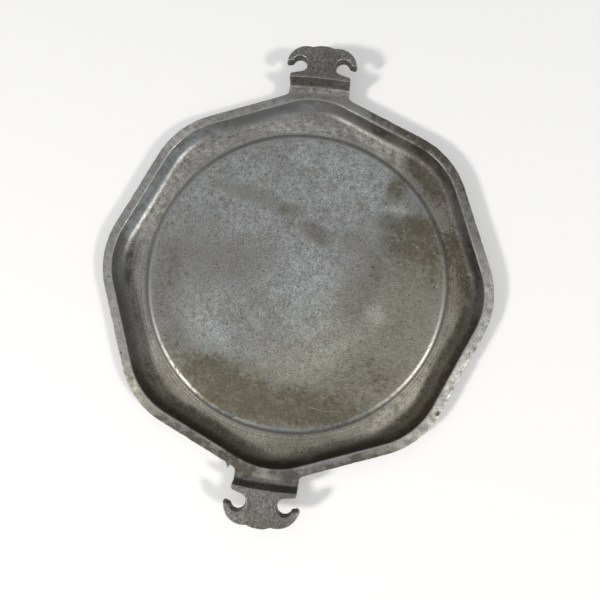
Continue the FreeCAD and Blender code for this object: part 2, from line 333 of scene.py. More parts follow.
# Scratches on the disc: x, y, half length, half width (mm), turn (degrees), strength
SCRATCHES = (
    (70.8, -23.0, 12.5, 0.35, -42, 0.8), (33.5, -109.6, 7.5, 0.35, -9, 0.7),
    (47.0, -109.6, 7.5, 0.35, 10, 0.7), (52.0, -86.0, 26.0, 0.3, 47, 0.45),
    (38.0, -96.0, 20.0, 0.3, 41, 0.4), (64.0, -62.0, 22.0, 0.3, 52, 0.35),
    (24.0, -74.0, 18.0, 0.3, 38, 0.35), (82.0, -48.0, 12.0, 0.3, -30, 0.35),
    (-66.0, -56.0, 18.0, 0.3, -55, 0.35), (56.0, -4.0, 9.0, 0.3, 70, 0.4),
)

# Chips out of the rim's outer edge: x, y, half width, depth (mm)
CHIPS = (
    (150.5, -62.0, 2.4, 1.3), (146.0, -73.0, 1.8, 0.9), (154.0, -53.0, 2.0, 0.8),
    (141.0, -84.5, 2.2, 0.7), (132.0, -103.0, 1.6, 0.7), (-147.0, 67.0, 1.8, 0.7),
    (-131.0, 103.0, 1.6, 0.6), (-158.0, -35.0, 2.2, 0.7), (-151.0, -60.0, 1.8, 0.6),
    (-60.0, 157.5, 1.8, 0.6),
)

# Thorn of flash left under the rim beside the front tongue: x of its foot, length and half width,
# the heights over the rim's underside between which it ends, and how blunt it is
THORN = (-34.2 * MM, 5.6 * MM, 1.3 * MM)
THORN_TOP = (0.4 * MM, 1.9 * MM)
THORN_BLUNTNESS = 1.6

pan_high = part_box("griddle_pan")[1]
rim_top = pan_high.z
rim_underside = rim_top - RIM_THICKNESS
disc_top = rim_top - DISC_DROP
gutter_floor = disc_top - GUTTER_DEPTH
seam = pan_high.y
rim_corner_radius = CORNER_RADIUS + RIM_WIDTH
corner_distance = pan_high.x - rim_corner_radius
HALF_CORNER = math.pi / SIDES
half_step = GUTTER_DEPTH / math.tan(DISC_STEP_SLOPE) / 2
disc_foot = DISC_STEP_RADIUS + half_step + DISC_FOOT_RADIUS * math.tan(DISC_STEP_SLOPE / 2)

# How far a rounding between the wall and a level face reaches along them, over its radius
setback_share = math.tan((math.pi / 2 - WALL_DRAFT) / 2)


def heading(angle):
    """Unit step at an angle measured anticlockwise from a corner's own direction."""
    return np.stack([-np.sin(angle), np.cos(angle)], axis=-1)


def turned(points, angle):
    """Points in the plan, turned anticlockwise about the middle."""
    cosine, sine = math.cos(angle), math.sin(angle)
    return points @ np.array([[cosine, sine], [-sine, cosine]])


def tongue_line(inset):
    """Outer line of a tongue and its roots, anticlockwise, with the corner pointing to +Y."""
    half = TONGUE_WIDTH / 2 - inset
    fillet = TONGUE_ROOT_RADIUS + inset
    fillet_x = TONGUE_WIDTH / 2 + TONGUE_ROOT_RADIUS
    root_distance = rim_corner_radius + TONGUE_ROOT_RADIUS
    fillet_y = corner_distance + math.sqrt(root_distance ** 2 - fillet_x ** 2)
    across = np.linspace(0, half, TONGUE_END_POINTS + 1)
    end = np.stack([across, np.full_like(across, seam)], axis=1)
    along = np.linspace(seam, fillet_y, TONGUE_SIDE_POINTS + 1)[1:]
    side = np.stack([np.full_like(along, half), along], axis=1)
    last = math.pi + math.atan2(fillet_y - corner_distance, fillet_x)
    swing = np.linspace(math.pi, last, TONGUE_ROOT_POINTS + 1)[1:]
    root = np.stack([fillet_x + fillet * np.cos(swing), fillet_y + fillet * np.sin(swing)], axis=1)
    right = np.concatenate([end, side, root])
    return np.concatenate([right[::-1], right[1:] * (-1, 1)])


def corner_parts():
    """For each corner: its turn from +Y, its points' angles, and whether a tongue stands on it."""
    tongue = tongue_line(0) - (0, corner_distance)
    tongue_angles = np.arctan2(-tongue[:, 0], tongue[:, 1])
    plain_angles = (np.arange(ARC_POINTS) + 0.5) / ARC_POINTS * 2 * HALF_CORNER - HALF_CORNER
    for corner in range(SIDES):
        has_tongue = corner % (SIDES // 2) == 0
        yield 2 * HALF_CORNER * corner, tongue_angles if has_tongue else plain_angles, has_tongue


def side_steps():
    """Shares of the way along a straight side at which its points stand."""
    return (np.arange(SIDE_POINTS) + 0.5) / SIDE_POINTS


def offset_ring(offset):
    """Ring parallel to the opening's edge, further out by the offset."""
    points = []
    for turn, angles, _ in corner_parts():
        centre = corner_distance * heading(np.array([0.0]))
        arc = centre + (CORNER_RADIUS + offset) * heading(angles)
        this_end = centre + (CORNER_RADIUS + offset) * heading(np.array([HALF_CORNER]))
        next_centre = turned(centre, 2 * HALF_CORNER)
        next_start = next_centre + (CORNER_RADIUS + offset) * heading(np.array([HALF_CORNER]))
        side = this_end + side_steps()[:, None] * (next_start - this_end)
        points += [turned(arc, turn), turned(side, turn)]
    return np.concatenate(points)


def rim_ring(inset):
    """Ring along the rim's outer line with its tongues, further in by the inset."""
    ring = offset_ring(RIM_WIDTH - inset)
    start = 0
    for turn, angles, has_tongue in corner_parts():
        if has_tongue:
            ring[start:start + len(angles)] = turned(tongue_line(inset), turn)
        start += len(angles) + SIDE_POINTS
    return ring


def circle_ring(radius):
    """Round ring whose points lie in line with those of the opening's edge."""
    edge = offset_ring(0)
    return edge / np.linalg.norm(edge, axis=1)[:, None] * radius


def rounded(start_angle, end_angle, radius, steps):
    """Steps out and up from an arc's centre, at angles above the outward direction in degrees."""
    for angle in np.radians(np.linspace(start_angle, end_angle, steps + 1)):
        yield radius * math.cos(angle), radius * math.sin(angle)


def between(first, last, steps):
    """Places strictly between two values, evenly spaced."""
    return np.linspace(first, last, steps + 1)[1:-1]


def flat_rings(inner, outer, height, zones, steps):
    """Rings strictly between two others, at one height."""
    return [(inner + share * (outer - inner), height, zones) for share in between(0, 1, steps)]


def cooking_rings():
    """Rings of the disc's top and edge, from the middle outward, with their zone shares."""
    slope = math.degrees(DISC_STEP_SLOPE)
    middle = DISC_STEP_RADIUS - half_step - DISC_EDGE_RADIUS * math.tan(DISC_STEP_SLOPE / 2)
    radii = np.linspace(INNERMOST_RADIUS, middle, DISC_RINGS)
    rings = [(circle_ring(radius), disc_top, {"disc": 1}) for radius in radii]
    for out, up in list(rounded(90, 90 - slope, DISC_EDGE_RADIUS, steps=6))[1:]:
        height = disc_top - DISC_EDGE_RADIUS + up
        rings.append((circle_ring(middle + out), height, {"disc": 1, "edge": 1}))
    for out, up in rounded(270 - slope, 270, DISC_FOOT_RADIUS, steps=6):
        height = gutter_floor + DISC_FOOT_RADIUS + up
        rings.append((circle_ring(disc_foot + out), height, {"gutter": 1, "foot": 1}))
    return rings


def gutter_rings():
    """Rings of the gutter's floor, its fillet and the wall, with their zone shares."""
    lean = math.tan(WALL_DRAFT)
    foot = -(rim_top - gutter_floor) * lean
    setback = GUTTER_RADIUS * setback_share
    draft = math.degrees(WALL_DRAFT)
    inner = circle_ring(disc_foot)
    outer = offset_ring(foot - setback)
    rings = flat_rings(inner, outer, gutter_floor, {"gutter": 1}, steps=5)
    for out, up in rounded(-90, -draft, GUTTER_RADIUS, steps=12):
        on_wall = float(eased(out / GUTTER_RADIUS, *WALL_FROM))
        on_fillet = float(eased(out / GUTTER_RADIUS, *FILLET_FROM)) * (1 - on_wall)
        zones = {"gutter": 1 - on_wall, "wall": on_wall, "fillet": on_fillet}
        rings.append((offset_ring(foot - setback + out), gutter_floor + GUTTER_RADIUS + up, zones))
    top_of_fillet = rings[-1][1]
    edge_out = OPENING_EDGE_RADIUS * setback_share
    opening_drop = edge_out * math.cos(WALL_DRAFT)
    for height in between(top_of_fillet, rim_top - opening_drop, steps=6):
        rings.append((offset_ring((height - rim_top) * lean), height, {"wall": 1}))
    for out, up in rounded(180 - draft, 90, OPENING_EDGE_RADIUS, steps=4):
        height = rim_top - OPENING_EDGE_RADIUS + up
        rings.append((offset_ring(edge_out + out), height, {"ground": 1, "edge": 1}))
    return rings


def rim_rings():
    """Rings of the rim's ground top, its outer face and its underside, with their zone shares."""
    inner = offset_ring(OPENING_EDGE_RADIUS)
    outer = rim_ring(CAST_EDGE_RADIUS)
    rings = flat_rings(inner, outer, rim_top, {"ground": 1}, steps=6)
    for out, up in rounded(90, 0, CAST_EDGE_RADIUS, steps=4):
        height = rim_top - CAST_EDGE_RADIUS + up
        top_share = 1.0 if up > 0.9 * CAST_EDGE_RADIUS else 0.0
        rings.append((rim_ring(CAST_EDGE_RADIUS - out), height, {"ground": top_share, "brink": 1}))
    for height in between(rim_top - CAST_EDGE_RADIUS, rim_underside + LOWER_EDGE_RADIUS, steps=5):
        rings.append((rim_ring(0), height, {"brink": 1}))
    for out, up in rounded(0, -90, LOWER_EDGE_RADIUS, steps=2):
        height = rim_underside + LOWER_EDGE_RADIUS + up
        rings.append((rim_ring(LOWER_EDGE_RADIUS - out), height, {"brink": 1}))
    return rings


def outside_rings():
    """Rings from under the rim down the drafted outside and over the underside to its middle."""
    lean = math.tan(WALL_DRAFT)
    skin = WALL_THICKNESS / math.cos(WALL_DRAFT) - RIM_THICKNESS * lean
    draft = math.degrees(WALL_DRAFT)
    outer = rim_ring(LOWER_EDGE_RADIUS)
    root = offset_ring(skin + UNDER_RIM_RADIUS)
    rings = flat_rings(outer, root, rim_underside, {}, steps=3)
    centre = skin + UNDER_RIM_RADIUS / math.cos(WALL_DRAFT) - UNDER_RIM_RADIUS * lean
    for out, up in rounded(90, 180 - draft, UNDER_RIM_RADIUS, steps=3):
        rings.append((offset_ring(centre + out), rim_underside - UNDER_RIM_RADIUS + up, {}))
    foot = skin - (rim_underside - BASE_STEP) * lean
    fillet_centre = foot - UNDERSIDE_RADIUS * setback_share
    blend = list(rounded(-draft, -90, UNDERSIDE_RADIUS, steps=10))
    top_of_blend = BASE_STEP + UNDERSIDE_RADIUS + blend[0][1]
    for height in between(rings[-1][1], top_of_blend, steps=3):
        rings.append((offset_ring(skin - (rim_underside - height) * lean), height, {}))
    for out, up in blend:
        rings.append((offset_ring(fillet_centre + out), BASE_STEP + UNDERSIDE_RADIUS + up, {}))
    inner = circle_ring(BASE_RADIUS)
    rings += flat_rings(rings[-1][0], inner, BASE_STEP, {}, steps=3)
    radii = np.linspace(BASE_RADIUS - BASE_BEVEL, INNERMOST_RADIUS, BASE_RINGS)
    rings.append((inner, BASE_STEP, {}))
    rings += [(circle_ring(radius), 0, {"base": 1}) for radius in radii]
    return rings


def closed_rings(name, rings):
    """Closed mesh through stacked rings, with a point at each end and the rings' zones as attributes."""
    count = len(rings[0][0])
    heights = np.concatenate([np.full(count, height) for _, height, _ in rings])
    flat = np.concatenate([ring for ring, _, _ in rings])
    body = np.column_stack([flat, heights])
    ends = np.array([[0, 0, rings[0][1]], [0, 0, rings[-1][1]]])
    faces = []
    for level in range(len(rings) - 1):
        for point in range(count):
            beside = (point + 1) % count
            low, high = level * count, (level + 1) * count
            faces.append((low + point, high + point, high + beside, low + beside))
    top, bottom = len(body), len(body) + 1
    last = (len(rings) - 1) * count
    for point in range(count):
        beside = (point + 1) % count
        faces.append((top, point, beside))
        faces.append((bottom, last + beside, last + point))
    mesh = bpy.data.meshes.new(name)
    mesh.from_pydata(np.concatenate([body, ends]).tolist(), [], faces)
    for zone in ZONES:
        shares = np.concatenate([np.full(count, zones.get(zone, 0.0)) for _, _, zones in rings])
        shares = np.concatenate([shares, [rings[0][2].get(zone, 0.0), rings[-1][2].get(zone, 0.0)]])
        painted(mesh, zone, shares)
    return placed(name, mesh)


def placed(name, data):
    """A new object in the scene."""
    made = bpy.data.objects.new(name, data)
    bpy.context.scene.collection.objects.link(made)
    return made


def vectors(items, name):
    """One vector of each item, as rows."""
    flat = np.empty(len(items) * 3)
    items.foreach_get(name, flat)
    return flat.reshape(-1, 3)


def set_coordinates(mesh, places):
    mesh.vertices.foreach_set("co", places.ravel())
    mesh.update()


def lumps(places, size, seed):
    """Smooth noise from about -1 to 1 at each place, with lumps of this size."""
    shift = Vector((seed * 7.3, seed * 3.1, seed * 5.7))
    return np.array([noise.noise(Vector(place) / size + shift) for place in places])


def unevenness(places, layers):
    """How deep a skin's hollows are at each place, summed over its layers."""
    return sum(depth * (1 + lumps(places, size, seed)) for depth, size, seed in layers)


def eased(values, low, high):
    """0 below low and 1 above high, with a smooth change between."""
    share = np.clip((values - low) / (high - low), 0, 1)
    return share * share * (3 - 2 * share)


def past_seam(reach, span):
    """0 to 1 between two distances beyond the seam."""
    return eased(reach, seam + span[0], seam + span[1])


def patches(places, listed):
    """How strongly the listed patches show at each place, from 0 to 1."""
    total = np.zeros(len(places))
    for x, y, half_length, half_width, turn_deg, strength in listed:
        local = turned(places[:, :2] - np.array([x, y]) * MM, -math.radians(turn_deg))
        away = np.linalg.norm(local / (half_length * MM, half_width * MM), axis=1)
        total += strength * (1 - eased(away, *PATCH_EDGE))
    return np.minimum(total, 1)


def painted(mesh, name, values):
    """Store one value for each point, for the material to read."""
    mesh.attributes.new(name, "FLOAT", "POINT").data.foreach_set("value", values)


def smooth_shaded(piece):
    piece.data.shade_smooth()
    piece.data.set_sharp_from_angle(angle=SHARP_ANGLE)


def outer_edge_wear(places):
    """How far the rim's outer edge is worn inward at each place: ragged all round, with bites and chips."""
    wear = unevenness(places, RAGGED_EDGE)
    wear += BITE_DEPTH * np.clip(lumps(places, BITE_SIZE, BITE_PLACE) - BITE_THRESHOLD, 0, 1)
    for x, y, half_width, depth in CHIPS:
        away = np.linalg.norm(places[:, :2] - (x * MM, y * MM), axis=1)
        wear += depth * MM * np.exp(-(away / (half_width * MM)) ** 2)
    return wear


def pan_piece():
    """The pan as one closed casting, uneven where the sand left it and flat where it was ground."""
    pan = closed_rings("pan_casting", cooking_rings() + gutter_rings() + rim_rings() + outside_rings())
    places = vectors(pan.data.vertices, "co")
    outward = vectors(pan.data.vertex_normals, "vector")
    zone = {name: zone_values(pan.data, name) for name in ZONES}
    worked = zone["disc"] + zone["gutter"] + zone["wall"]
    rough = 1 - np.clip(worked + zone["ground"] + zone["base"], 0, 1)
    clear_of_tongue = np.maximum(eased(np.abs(places[:, 0]), *TONGUE_ACROSS),
                                 1 - eased(np.abs(places[:, 1]), *TONGUE_ALONG))
    depth = unevenness(places, WORKED_SKIN) * worked
    depth += unevenness(places, CAST_SKIN) * rough * clear_of_tongue
    places = places - outward * depth[:, None]
    inward = -places[:, :2] / np.linalg.norm(places[:, :2], axis=1)[:, None].clip(MM)
    brink = zone["brink"] > 0
    wear = outer_edge_wear(places[brink]) * clear_of_tongue[brink]
    places[brink, :2] += inward[brink] * wear[:, None]
    thorn_x, thorn_length, thorn_half_width = THORN
    beside = np.abs(places[:, 0] - thorn_x) / thorn_half_width
    low = 1 - eased(places[:, 2], rim_underside + THORN_TOP[0], rim_underside + THORN_TOP[1])
    profile = np.exp(-beside ** THORN_BLUNTNESS)
    places[:, 1] -= thorn_length * profile * low * zone["brink"] * (places[:, 1] < 0)
    set_coordinates(pan.data, places)
    # Film and pale patches; film also paints shade on the front walls and fillets, and pale also paints light
    # and highlight
    stains_and_painted_light = {"film_and_shade": (DISC_FILM, GUTTER_FILM_AND_SHADE, WALL_FILM_AND_SHADE, RIM_FILM),
              "pale_and_painted_light": (DISC_PALE_AND_LIGHT, GUTTER_PALE_AND_HIGHLIGHT, WALL_PAINTED_LIGHT, RIM_PALE_AND_HIGHLIGHT)}
    for name, lists in stains_and_painted_light.items():
        parts = zip(("disc", "gutter", "wall", "ground"), lists)
        shares = [zone[part] * patches(places, listed) for part, listed in parts]
        # Dark film along the foot of the disc's step, partly painted shade in that crease
        grime_and_shade = FOOT_GRIME_AND_SHADE * zone["foot"] if name == "film_and_shade" else 0.0
        painted(pan.data, name, sum(shares) + grime_and_shade)
    inside = zone["disc"] + zone["gutter"]
    # The painted dark reflection is stored beside the scuffs and specks
    for name, listed in (("painted_dark_reflection", PAINTED_DARK_REFLECTION), ("scuffed", SCUFFED), ("specked", SPECKED)):
        painted(pan.data, name, inside * patches(places, listed))
    warm = inside * patches(places, WARM_TINT) + zone["ground"] * patches(places, RIM_WARM)
    painted(pan.data, "warm", warm + (1 - inside - zone["ground"]) * patches(places, WALL_WARM))
    smooth_shaded(pan)
    return pan


def zone_values(mesh, name):
    values = np.empty(len(mesh.vertices))
    mesh.attributes[name].data.foreach_get("value", values)
    return values


def draft_hooks(shell, side, box):
    """Leans a hook plate's side faces, the outer ones from their top edge and the notch walls about
    their middle, and sets the outer ones a little out."""
    top = box[1].z
    reach = max(abs(box[0].y), abs(box[1].y)) + HOOK_REACH_ALLOWANCE
    moves = {}
    for vert in shell.verts:
        if vert.co.z < top - 1.05 * HOOK_THICKNESS:
            continue
        sides = [face.normal.xy.normalized() for face in vert.link_faces if abs(face.normal.z) < 0.9]
        sides = [one for number, one in enumerate(sides)
                 if all(one.dot(other) < 0.999 for other in sides[:number])]
        if not sides:
            continue
        outward = sum(sides, Vector((0, 0))) / len(sides)
        share = float(past_seam(side * vert.co.y, HOOK_BEGINS))
        from_notch = math.hypot(abs(vert.co.x) - NOTCH_PLACE[0], side * vert.co.y - NOTCH_PLACE[1])
        outer = float(eased(from_notch, NOTCH_RADIUS + NOTCH_WALL[0], NOTCH_RADIUS + NOTCH_WALL[1]))
        pivot = top - (1 - outer) * HOOK_THICKNESS / 2
        leant = (pivot - vert.co.z) * math.tan(HOOK_DRAFT) + outer * HOOK_SWELL
        spread = share * leant / max(outward.length_squared, 0.4)
        moves[vert] = outward * spread
    for vert, move in moves.items():
        vert.co.x += move.x
        vert.co.y = side * min(side * (vert.co.y + move.y), reach)


def handle_piece(name, node):
    """A handle rebuilt from its solid with rounded, slightly lumpy cast surfaces, cut flat at the pan."""
    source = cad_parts[node]
    side = 1 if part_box(node)[1].y > 0 else -1
    mesh = source.data.copy()
    shell = bmesh.new()
    shell.from_mesh(mesh)
    bmesh.ops.remove_doubles(shell, verts=shell.verts, dist=0.001 * MM)
    shell.normal_update()
    draft_hooks(shell, side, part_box(node))
    for vert in shell.verts:
        if abs(side * vert.co.y - seam) < 0.01 * MM:
            vert.co.y -= side * HANDLE_OVERLAP
    shell.to_mesh(mesh)
    shell.free()
    raw = placed(name + "_raw", mesh)
    remesh = raw.modifiers.new("remesh", "REMESH")
    remesh.mode = "VOXEL"
    remesh.voxel_size = HANDLE_VOXEL
    smooth = raw.modifiers.new("smooth", "SMOOTH")
    smooth.factor = HANDLE_SMOOTH_FACTOR
    smooth.iterations = HANDLE_SMOOTHING
    graph = bpy.context.evaluated_depsgraph_get()
    solid = bpy.data.meshes.new_from_object(raw.evaluated_get(graph))
    bpy.data.objects.remove(raw)
    places = vectors(solid.vertices, "co")
    outward = vectors(solid.vertex_normals, "vector")
    if side < 0:
        on_plate = past_seam(-places[:, 1], FRONT_PLATE_BEGINS)
        on_right = eased(places[:, 0], *RIGHT_HALF_FROM)
        places[:, :2] += on_plate[:, None] * (FRONT_PLATE_SHIFT + on_right[:, None] * FRONT_RIGHT_SHIFT)
    depth = unevenness(places, HANDLE_SKIN) * past_seam(side * places[:, 1], HANDLE_SKIN_BEGINS)
    set_coordinates(solid, places - outward * depth[:, None])
    cut = bmesh.new()
    cut.from_mesh(solid)
    everything = cut.verts[:] + cut.edges[:] + cut.faces[:]
    bmesh.ops.bisect_plane(cut, geom=everything, plane_co=(0, side * seam, 0), plane_no=(0, side, 0),
                           clear_inner=True)
    bmesh.ops.edgeloop_fill(cut, edges=[edge for edge in cut.edges if edge.is_boundary])
    bmesh.ops.recalc_face_normals(cut, faces=cut.faces[:])
    cut.to_mesh(solid)
    cut.free()
    places = vectors(solid.vertices, "co")
    level = vectors(solid.vertex_normals, "vector")[:, 2]
    on_tongue = 1 - past_seam(side * places[:, 1], TONGUE_ENDS)
    near_top = eased(places[:, 2], rim_top - GROUND_DEPTHS[0], rim_top - GROUND_DEPTHS[1])
    ground = on_tongue * near_top * eased(level, *GROUND_LEVELS)
    painted(solid, "ground", ground)
    # Film and pale on the ground tongue; the pale is partly a painted highlight at the riser's foot
    for stain_and_light, listed in (("film_and_shade", RIM_FILM), ("pale_and_painted_light", RIM_PALE_AND_HIGHLIGHT)):
        painted(solid, stain_and_light, ground * patches(places, listed))
    warm = ground * patches(places, RIM_WARM) + (1 - ground) * patches(places, RISER_WARM)
    painted(solid, "warm", warm)
    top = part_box(node)[1].z
    high = eased(places[:, 2], top - RUBBED_DEPTHS[0], top - RUBBED_DEPTHS[1])
    painted(solid, "edge", high * eased(level, *RUBBED_FROM) * (1 - eased(level, *RUBBED_TO)))
    piece = placed(name, solid)
    smooth_shaded(piece)
    return piece


def new_node(tree, kind, inputs=(), **settings):
    """A node whose inputs are each a value or a socket to link to."""
    made = tree.nodes.new(kind)
    for key, value in settings.items():
        setattr(made, key, value)
    for key, value in dict(inputs).items():
        if isinstance(value, bpy.types.NodeSocket):
            tree.links.new(value, made.inputs[key])
        else:
            made.inputs[key].default_value = value
    return made


class Pattern:
    """Builds one material's nodes. Values and sockets can be used alike as inputs."""

    def __init__(self, name):
        self.material = bpy.data.materials.new(name)
        self.material.use_nodes = True
        self.tree = self.material.node_tree
        self.tree.nodes.clear()
        self.place = self.node("ShaderNodeTexCoord").outputs["Object"]
        self.shaken = None

    def node(self, kind, inputs=(), **settings):
        return new_node(self.tree, kind, inputs, **settings)

    def math(self, operation, *values, clamp=False):
        return self.node("ShaderNodeMath", enumerate(values), operation=operation, use_clamp=clamp).outputs[0]

    def vector(self, operation, inputs):
        return self.node("ShaderNodeVectorMath", inputs, operation=operation).outputs

    def zone(self, name):
        return self.node("ShaderNodeAttribute", attribute_name=name).outputs["Fac"]

    def noise(self, size, detail=3.0, roughness=0.55, place=None):
        """Cloudy value from 0 to 1 with features of about this size in metres."""
        inputs = {"Vector": place or self.place, "Scale": 1 / size, "Detail": detail, "Roughness": roughness}
        return self.node("ShaderNodeTexNoise", inputs).outputs["Fac"]

    def plan_length(self, place):
        """How far a place is from the middle, seen from above."""
        flat = self.vector("MULTIPLY", {0: place, 1: (1, 1, 0)})[0]
        return self.vector("LENGTH", {0: flat})["Value"]

    def ramp(self, value, low, high, start=0.0, end=1.0):
        """Smooth change from start to end as the value goes from low to high."""
        inputs = {"Value": value, "From Min": low, "From Max": high, "To Min": start, "To Max": end}
        return self.node("ShaderNodeMapRange", inputs, interpolation_type="SMOOTHSTEP").outputs["Result"]

    def mix(self, share, first, second):
        """Colour between two, each a socket or a tuple of red, green and blue."""
        colours = [value if isinstance(value, bpy.types.NodeSocket) else (*value, 1.0)
                   for value in (first, second)]
        made = self.node("ShaderNodeMix", {0: share, 6: colours[0], 7: colours[1]}, data_type="RGBA")
        return made.outputs[2]

    def lerp(self, share, first, second):
        """Number between two."""
        return self.node("ShaderNodeMix", {0: share, 2: first, 3: second}, data_type="FLOAT").outputs[0]

    def toned(self, colour, *steps):
        """Colour times a factor for each step: a value, the factors at its ends, and its span."""
        for value, start, end, *span in steps:
            inputs = {0: colour, "Scale": self.ramp(value, *(span or NOISE_SPAN), start, end)}
            colour = self.vector("SCALE", inputs)[0]
        return colour

    def pits(self, spacing, radius, share):
        """1 in small uneven pits strewn about this far apart, of which only a share is there."""
        if self.shaken is None:
            inputs = {"Vector": self.place, "Scale": 1 / WOBBLE_SIZE, "Detail": 1.0}
            wobble = self.node("ShaderNodeTexNoise", inputs)
            inputs = {0: wobble.outputs["Color"], 1: (WOBBLE_REACH,) * 3, 2: self.place}
            self.shaken = self.vector("MULTIPLY_ADD", inputs)[0]
        cells = self.node("ShaderNodeTexVoronoi", {"Vector": self.shaken, "Scale": 1 / spacing})
        edge = [part * radius / spacing for part in PIT_EDGE]
        near = self.ramp(cells.outputs["Distance"], *edge, start=1.0, end=0.0)
        luck = self.node("ShaderNodeSeparateColor", {0: cells.outputs["Color"]}).outputs[0]
        return self.math("MULTIPLY", near, self.ramp(luck, share, share - PIT_CHOICE))

    def hairlines(self, length, turn_deg):
        """1 on short fine lines that run one way."""
        inputs = {"Vector": self.place, "Rotation": (0, 0, math.radians(turn_deg)),
                  "Scale": (HAIRLINE_WIDTH / length, 1, 1)}
        place = self.node("ShaderNodeMapping", inputs).outputs["Vector"]
        lines = self.noise(HAIRLINE_WIDTH, detail=1.0, roughness=0.5, place=place)
        return self.ramp(lines, *HAIRLINE_SPAN)

    def turning(self, pitch):
        """Cloudy value from 0 to 1 that changes with the distance from the middle, as turning marks do."""
        radius = self.plan_length(self.place)
        inputs = {"W": radius, "Scale": 1 / pitch, "Detail": 2.0, "Roughness": 0.6}
        return self.node("ShaderNodeTexNoise", inputs, noise_dimensions="1D").outputs["Fac"]

    def patch(self, name, fine, broad, mottle=PATCH_FINE):
        """Share of a painted patch, broken up by a fine and a broad noise, most of all halfway."""
        share = self.zone(name)
        middle = -PATCH_BROAD / 2 - mottle / 2
        mottled = self.math("MULTIPLY_ADD", fine, mottle, middle)
        uneven = self.math("MULTIPLY_ADD", broad, PATCH_BROAD, mottled)
        room = self.math("MULTIPLY", share, self.math("SUBTRACT", PATCH_ROOM, share))
        return self.math("MULTIPLY_ADD", uneven, room, share, clamp=True)

    def scratches(self, listed):
        """The listed scratches, 1 along their middles. Sizes in millimetres."""
        total = 0.0
        for x, y, half_length, half_width, turn_deg, strength in listed:
            inputs = {"Vector": self.place, "Location": (x * MM, y * MM, 0),
                      "Rotation": (0, 0, math.radians(turn_deg)),
                      "Scale": (half_length * MM, half_width * MM, 1)}
            local = self.node("ShaderNodeMapping", inputs, vector_type="TEXTURE").outputs["Vector"]
            near = self.ramp(self.plan_length(local), *SCRATCH_EDGE, start=1.0, end=0.0)
            total = self.math("MULTIPLY_ADD", near, strength, total)
        return total

    def finish(self, look):
        colour, roughness, metallic, height = look
        bump = self.node("ShaderNodeBump", {"Height": height, "Distance": 1.0, "Strength": 1.0})
        inputs = {"Base Color": colour, "Roughness": roughness, "Metallic": metallic,
                  "Normal": bump.outputs["Normal"]}
        shader = self.node("ShaderNodeBsdfPrincipled", inputs)
        self.node("ShaderNodeOutputMaterial", {"Surface": shader.outputs["BSDF"]})
        return self.material


def blend_looks(pattern, share, first, second):
    """Blend of two looks, each a colour, a roughness, a metallic share and a height."""
    colour = pattern.mix(share, first[0], second[0])
    return colour, *(pattern.lerp(share, first[part], second[part]) for part in (1, 2, 3))


def added(pattern, *terms):
    """Sum of socket and weight pairs."""
    total = 0.0
    for socket, weight in terms:
        total = pattern.math("MULTIPLY_ADD", socket, weight, total)
    return total


def sand_cast_look(pattern):
    """Grainy dark skin that the mould's sand leaves."""
    grain = pattern.noise(1.0 * MM, detail=2.0, roughness=0.7)
    clumps = pattern.noise(3.0 * MM, detail=3.0)
    cloud = pattern.noise(24 * MM, detail=4.0)
    colour = pattern.mix(pattern.ramp(cloud, *CLOUD_SPAN), *SAND_CAST_METAL)
    colour = pattern.toned(colour, (grain, 0.5, 1.53), (clumps, 0.82, 1.16))
    roughness = pattern.ramp(clumps, *NOISE_SPAN, start=0.62, end=0.46)
    height = added(pattern, (grain, 0.15 * MM), (clumps, 0.16 * MM))
    return colour, roughness, METALLIC, height


def ground_look(pattern):
    """Flat ground top of the rim: plain grey with a fine grain, stained brown in places, and pale in places,
    partly as a painted highlight.
    """
    grain = pattern.noise(0.8 * MM, detail=2.0, roughness=0.7)
    cloud = pattern.noise(24 * MM, detail=4.0)
    patch = pattern.noise(6 * MM, detail=4.0, roughness=0.6)
    pits = pattern.pits(spacing=4.5 * MM, radius=0.9 * MM, share=0.5)
    colour = pattern.mix(pattern.ramp(cloud, *CLOUD_SPAN), *RIM_METAL)
    film_and_shade = pattern.patch("film_and_shade", patch, cloud)
    # Pale metal, partly a painted highlight
    colour = pattern.mix(pattern.patch("pale_and_painted_light", patch, cloud, mottle=2.8), colour, RIM_PALE_AND_HIGHLIGHT_COLOUR)
    colour = pattern.mix(film_and_shade, colour, RIM_FILM_COLOUR)
    colour = pattern.toned(colour, (patch, 0.82, 1.18), (grain, 0.5, 1.56), (pits, 1.0, 0.45, *FULL_SPAN))
    roughness = pattern.lerp(film_and_shade, pattern.ramp(patch, *NOISE_SPAN, start=0.52, end=0.42), FILM_ROUGHNESS)
    height = added(pattern, (grain, 0.03 * MM), (patch, 0.03 * MM), (pits, -0.12 * MM))
    return colour, roughness, METALLIC, height


def wall_look(pattern):
    """Smooth drafted wall with a cool tarnish, painted light on its upper left side, and film that is also
    painted shade on its front side.
    """
    cloud = pattern.noise(24 * MM, detail=4.0)
    patch = pattern.noise(6 * MM, detail=4.0, roughness=0.6)
    grain = pattern.noise(1.1 * MM, detail=3.0, roughness=0.65)
    colour = pattern.mix(pattern.ramp(cloud, *CLOUD_SPAN), *WALL_METAL)
    # Painted light on the upper left walls and painted highlight near the fillet
    colour = pattern.mix(pattern.patch("pale_and_painted_light", patch, cloud, mottle=2.4), colour, WALL_PAINTED_LIGHT_COLOUR)
    # Film, which on the front walls is also painted shade
    film_and_shade = pattern.patch("film_and_shade", patch, cloud, mottle=2.4)
    colour = pattern.mix(film_and_shade, colour, WALL_FILM_AND_SHADE_COLOUR)
    colour = pattern.toned(colour, (patch, 0.88, 1.12), (grain, 0.82, 1.18))
    roughness = pattern.lerp(film_and_shade, pattern.ramp(cloud, *NOISE_SPAN, start=0.46, end=0.38), FILM_ROUGHNESS)
    height = added(pattern, (grain, 0.02 * MM), (patch, 0.02 * MM))
    return colour, roughness, TARNISHED, height


